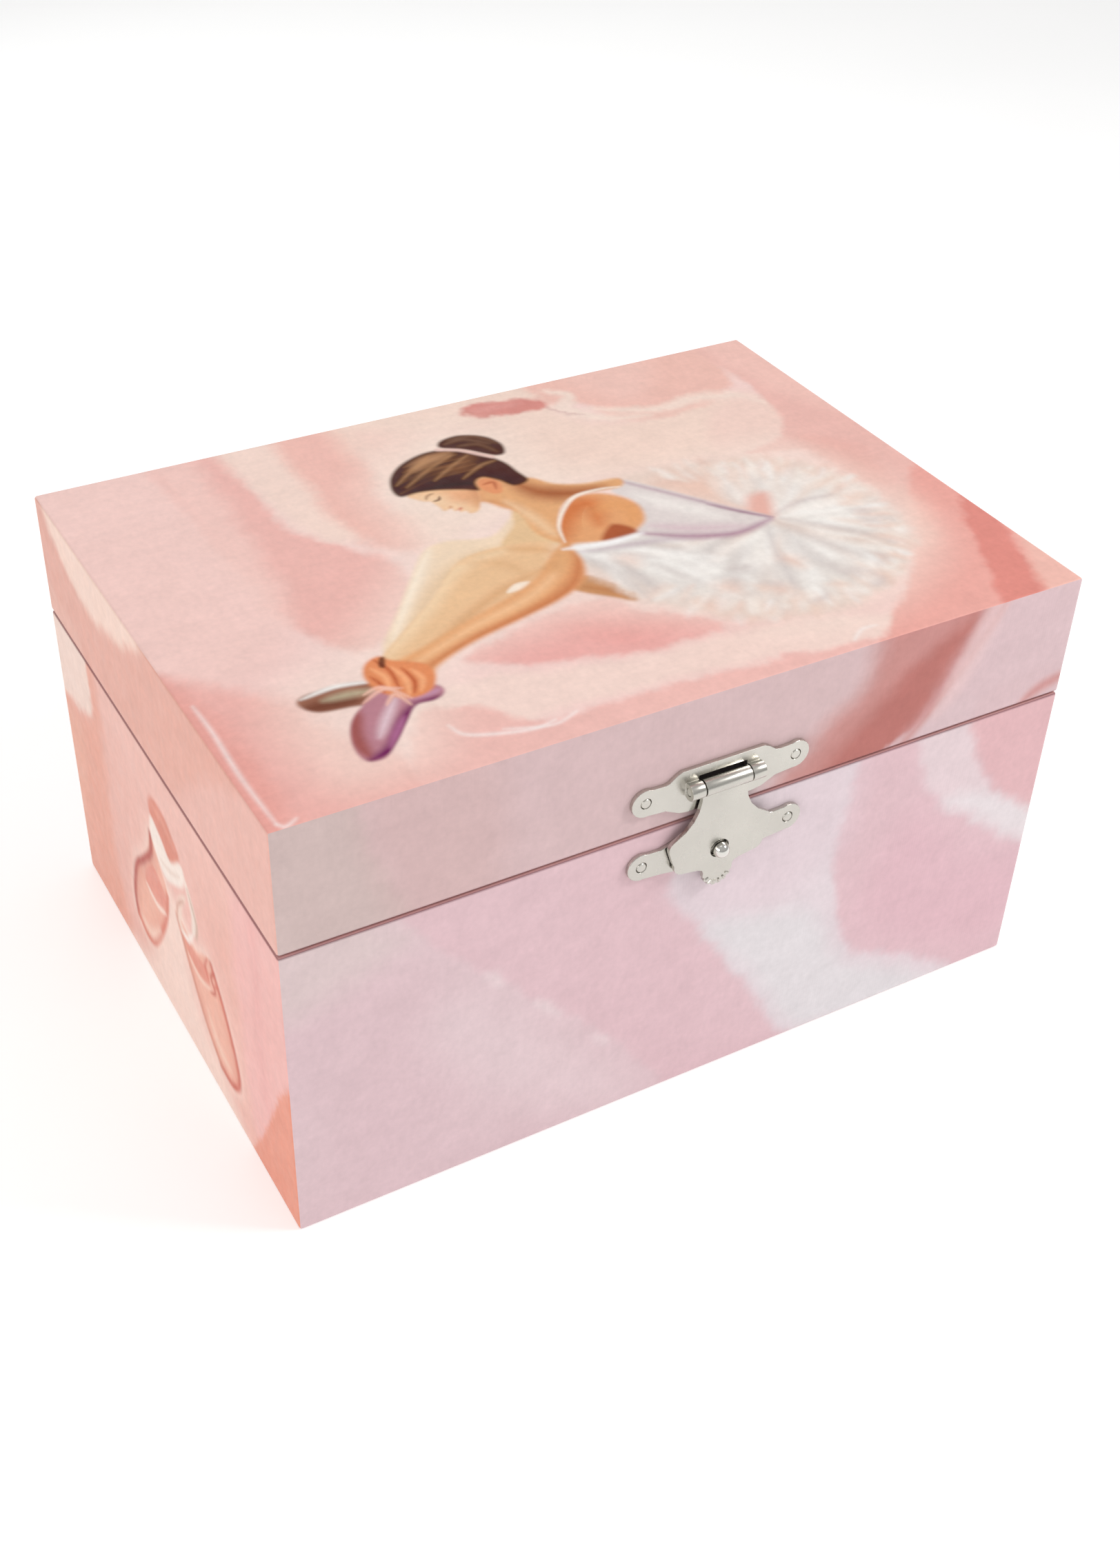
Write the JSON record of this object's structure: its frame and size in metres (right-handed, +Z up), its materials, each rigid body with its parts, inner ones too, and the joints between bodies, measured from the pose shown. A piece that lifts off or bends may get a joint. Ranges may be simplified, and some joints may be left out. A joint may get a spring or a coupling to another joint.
{
  "type": "ballerina musical jewellery box",
  "caption": "Paper-covered musical jewellery box with a hinged lid, front hasp, wind-up comb movement, lined compartments, a lid mirror and a dancer that stands up and turns.",
  "frame": {"origin": "centre of the box's underside, on the surface that it rests on", "axes": "+X to the right along the front, +Y from the hasp to the hinges and key, +Z up"},
  "size_m": [0.15, 0.1296, 0.0854],
  "materials": {
    "board": "matt grey-brown board",
    "printed_paper": "satin coated paper printed with soft rose petals and a painted dancer",
    "plain_paper": "matt",
    "pink_velvet": "short-pile velvet",
    "ring_velvet": "short-pile velvet over foam",
    "nickel": "satin nickel plate",
    "bright_nickel": "bright nickel plate",
    "cast_zinc": "as cast",
    "brass": "turned",
    "steel": "ground",
    "white_plastic": "moulded",
    "pink_plastic": "moulded",
    "mirror_glass": "silvered glass",
    "painted_figure": "moulded and hand painted",
    "tulle": "stiff net"
  },
  "bodies": {
    "carcass": {"base_board": "board", "front_wall_board": "board", "rear_wall_board": "board", "left_wall_board": "board", "right_wall_board": "board", "body_wrap": "printed_paper", "base_paper": "plain_paper", "wall_lining": "pink_velvet", "floor_lining": "pink_velvet", "front_divider": "pink_velvet", "deck_side_board": "pink_velvet", "deck_panel": "pink_velvet", "ring_cushion": "ring_velvet", "hinge_body_leaf_left": "nickel", "hinge_body_leaf_right": "nickel", "hinge_pins": "bright_nickel", "hinge_body_screws": "bright_nickel", "catch_plate": "nickel", "catch_stud": "bright_nickel", "catch_rivets": "bright_nickel", "key_escutcheon": "nickel", "movement_bedplate": "cast_zinc", "spring_housing": "brass", "mainspring": "steel", "comb": "steel", "movement_screws": "steel", "governor_frame": "white_plastic"},
    "lid": {"lid_panel": "board", "lid_front_board": "board", "lid_rear_board": "board", "lid_left_board": "board", "lid_right_board": "board", "lid_wrap": "printed_paper", "lid_lining": "pink_velvet", "mirror": "mirror_glass", "mirror_trim": "pink_velvet", "lid_stop_block": "pink_velvet", "hinge_lid_leaf_left": "nickel", "hinge_lid_leaf_right": "nickel", "hinge_lid_screws": "bright_nickel", "hasp_plate": "nickel", "hasp_pin": "bright_nickel", "hasp_rivets": "bright_nickel"},
    "hasp_flap": {"hasp_flap": "nickel"},
    "drive_wheel": {"drive_wheel": "brass", "ratchet_click": "steel"},
    "winding_arbor": {"winding_arbor": "steel", "ratchet_wheel": "steel", "winding_key": "nickel"},
    "cylinder": {"music_cylinder": "brass", "cylinder_arbor": "steel"},
    "spindle": {"spindle_shaft": "steel", "spindle_post": "pink_plastic", "figurine_spring": "steel"},
    "figurine": {"figurine": "painted_figure", "tutu": "tulle"},
    "governor_wheel": {"governor_wheel": "brass"},
    "governor_fan": {"governor_worm": "steel", "governor_fan": "white_plastic"},
    "stop_plunger": {"stop_rod": "steel"}
  },
  "joints": [
    {"name": "lid_hinge", "type": "hinge", "parent": "carcass", "child": "lid", "pos_m": [0, 0.05475, 0.0617], "axis": [-1, 0, 0], "range_deg": [0, 100]},
    {"name": "hasp_flap_hinge", "type": "hinge", "parent": "lid", "child": "hasp_flap", "pos_m": [0.002, -0.05505, 0.0687], "axis": [-1, 0, 0], "range_deg": [0, 160]},
    {"name": "play_spin", "type": "hinge", "parent": "carcass", "child": "drive_wheel", "pos_m": [-0.02, 0.005, 0.021], "axis": [0, 1, 0], "continuous": true},
    {"name": "key_turn", "type": "hinge", "parent": "drive_wheel", "child": "winding_arbor", "pos_m": [-0.02, 0.005, 0.021], "axis": [0, -1, 0], "continuous": true},
    {"name": "cylinder_spin", "type": "hinge", "parent": "carcass", "child": "cylinder", "pos_m": [-0.045, 0, 0.021], "axis": [1, 0, 0], "continuous": true},
    {"name": "spindle_spin", "type": "hinge", "parent": "carcass", "child": "spindle", "pos_m": [-0.02, 0, 0.0318], "axis": [0, 0, 1], "continuous": true},
    {"name": "governor_wheel_spin", "type": "hinge", "parent": "carcass", "child": "governor_wheel", "pos_m": [-0.061, 0, 0.029], "axis": [1, 0, 0], "continuous": true},
    {"name": "governor_fan_spin", "type": "hinge", "parent": "carcass", "child": "governor_fan", "pos_m": [-0.061, 0.0054, 0.029], "axis": [0, 0, 1], "continuous": true},
    {"name": "ballerina_tilt", "type": "hinge", "parent": "spindle", "child": "figurine", "pos_m": [-0.02, -0.00137, 0.0558], "axis": [-1, 0, 0], "range_deg": [0, 90], "deforming": ["figurine_spring"]},
    {"name": "stop_rod_slide", "type": "slide", "parent": "carcass", "child": "stop_plunger", "axis": [0, 0, 1], "range_m": [0, 0.0025]}
  ],
  "couplings": [
    {"joint": "cylinder_spin", "follows": "play_spin", "ratio": 3},
    {"joint": "spindle_spin", "follows": "play_spin", "ratio": -3},
    {"joint": "governor_wheel_spin", "follows": "play_spin", "ratio": -9},
    {"joint": "governor_fan_spin", "follows": "play_spin", "ratio": 180},
    {"joint": "ballerina_tilt", "follows": "lid_hinge", "ratio": 0.9},
    {"joint": "stop_rod_slide", "follows": "lid_hinge", "m_per_rad": 0.001432}
  ]
}
